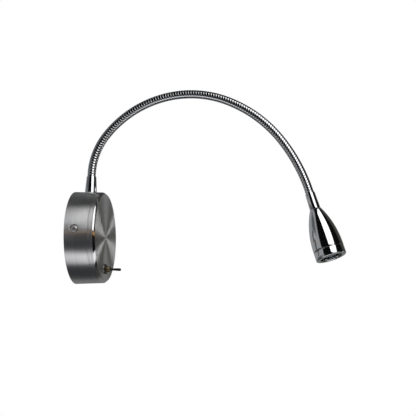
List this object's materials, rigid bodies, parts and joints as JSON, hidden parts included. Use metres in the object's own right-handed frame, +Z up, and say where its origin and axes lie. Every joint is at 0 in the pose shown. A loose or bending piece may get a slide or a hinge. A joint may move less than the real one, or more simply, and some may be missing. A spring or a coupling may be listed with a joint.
{
  "type": "flexible wall light",
  "caption": "Wall light with a round turned canopy, a toggle switch on its front, a wound metal gooseneck and a bullet-shaped lamp head.",
  "frame": {"origin": "centre of the canopy on the wall, where its back meets the wall", "axes": "+X points out of the wall, +Z up, +Y to the left of someone who faces the wall light; the gooseneck lies in the plane Y = 0 at rest"},
  "size_m": [0.2348, 0.08, 0.1714],
  "materials": {
    "canopy": "satin, lathe turned",
    "chrome": "polished",
    "steel": "zinc plated",
    "brass": "plain",
    "screw": "bright",
    "heat_sink": "machined",
    "white_plastic": "matte",
    "black_plastic": "matte",
    "red_plastic": "moulded",
    "board": "solder resist",
    "white_board": "solder resist",
    "emitter": "silicone over phosphor",
    "lens": "clear acrylic",
    "rubber": "matte",
    "wire": "insulated",
    "cable": "sheathed"
  },
  "bodies": {
    "base": {"wall_plate": "steel", "cable_grommet": "rubber", "earth_screw": "brass", "terminal_block": "white_plastic", "terminal_screws": "screw", "driver_case": "white_plastic", "driver_cover": "white_plastic", "driver_board": "board", "mains_wires": "wire", "canopy": "canopy", "side_screws": "screw", "collar": "chrome", "collar_stud": "steel", "stud_washer": "steel", "stud_nut": "steel", "switch_body": "red_plastic", "switch_bush": "brass", "switch_back_nut": "brass", "switch_washer": "steel", "switch_nut": "brass", "switch_tags": "brass", "hose_01": "chrome", "core_cable_01": "cable"},
    "neck_02": {"hose_02": "chrome", "core_cable_02": "cable"},
    "neck_03": {"hose_03": "chrome", "core_cable_03": "cable"},
    "neck_04": {"hose_04": "chrome", "core_cable_04": "cable"},
    "neck_05": {"hose_05": "chrome", "core_cable_05": "cable"},
    "neck_06": {"hose_06": "chrome", "core_cable_06": "cable"},
    "neck_07": {"hose_07": "chrome", "core_cable_07": "cable"},
    "neck_08": {"hose_08": "chrome", "core_cable_08": "cable"},
    "neck_09": {"hose_09": "chrome", "core_cable_09": "cable"},
    "neck_10": {"hose_10": "chrome", "core_cable_10": "cable"},
    "neck_11": {"hose_11": "chrome", "core_cable_11": "cable"},
    "neck_12": {"hose_12": "chrome", "core_cable_12": "cable"},
    "head": {"ferrule": "chrome", "head_shell": "chrome", "head_ring": "chrome", "heat_sink": "heat_sink", "led_board": "white_board", "board_screws": "screw", "led_emitter": "emitter", "lens": "lens", "lens_holder": "black_plastic", "lens_seal": "rubber", "hose_13": "chrome", "core_cable_13": "cable"},
    "lever": {"switch_lever": "chrome"}
  },
  "joints": [
    {"name": "bend_01", "type": "hinge", "parent": "base", "child": "neck_02", "pos_m": [0.01245, 0, 0.06665], "axis": [0, 1, 0], "range_deg": [-19.8, 6]},
    {"name": "bend_02", "type": "hinge", "parent": "neck_02", "child": "neck_03", "pos_m": [0.02049, 0, 0.08784], "axis": [0, 1, 0], "range_deg": [-26.6, 6]},
    {"name": "sway_03", "type": "hinge", "parent": "neck_03", "child": "neck_04", "pos_m": [0.03537, 0, 0.10502], "axis": [-0.6643, 0, 0.7475], "range_deg": [-20, 20]},
    {"name": "bend_04", "type": "hinge", "parent": "neck_04", "child": "neck_05", "pos_m": [0.05413, 0, 0.11788], "axis": [0, 1, 0], "range_deg": [-20.5, 6]},
    {"name": "bend_05", "type": "hinge", "parent": "neck_05", "child": "neck_06", "pos_m": [0.07549, 0, 0.1257], "axis": [0, 1, 0], "range_deg": [-13.4, 6]},
    {"name": "bend_06", "type": "hinge", "parent": "neck_06", "child": "neck_07", "pos_m": [0.09812, 0, 0.12797], "axis": [0, 1, 0], "range_deg": [-20.5, 6.1]},
    {"name": "sway_07", "type": "hinge", "parent": "neck_07", "child": "neck_08", "pos_m": [0.1206, 0, 0.12455], "axis": [0.2724, 0, 0.9622], "range_deg": [-20, 20]},
    {"name": "bend_08", "type": "hinge", "parent": "neck_08", "child": "neck_09", "pos_m": [0.14164, 0, 0.11585], "axis": [0, 1, 0], "range_deg": [-17.1, 6.1]},
    {"name": "bend_09", "type": "hinge", "parent": "neck_09", "child": "neck_10", "pos_m": [0.16053, 0, 0.10315], "axis": [0, 1, 0], "range_deg": [-10.2, 6]},
    {"name": "bend_10", "type": "hinge", "parent": "neck_10", "child": "neck_11", "pos_m": [0.1766, 0, 0.08702], "axis": [0, 1, 0], "range_deg": [-13.3, 6.1]},
    {"name": "sway_11", "type": "hinge", "parent": "neck_11", "child": "neck_12", "pos_m": [0.1896, 0, 0.06831], "axis": [0.8609, 0, 0.5088], "range_deg": [-20, 20]},
    {"name": "bend_12", "type": "hinge", "parent": "neck_12", "child": "head", "pos_m": [0.19973, 0, 0.0479], "axis": [0, 1, 0], "range_deg": [-11.1, 6]},
    {"name": "switch_flip", "type": "hinge", "parent": "base", "child": "lever", "pos_m": [0.0292, 0, -0.0278], "axis": [0, 0, -1], "range_deg": [0, 25]}
  ]
}
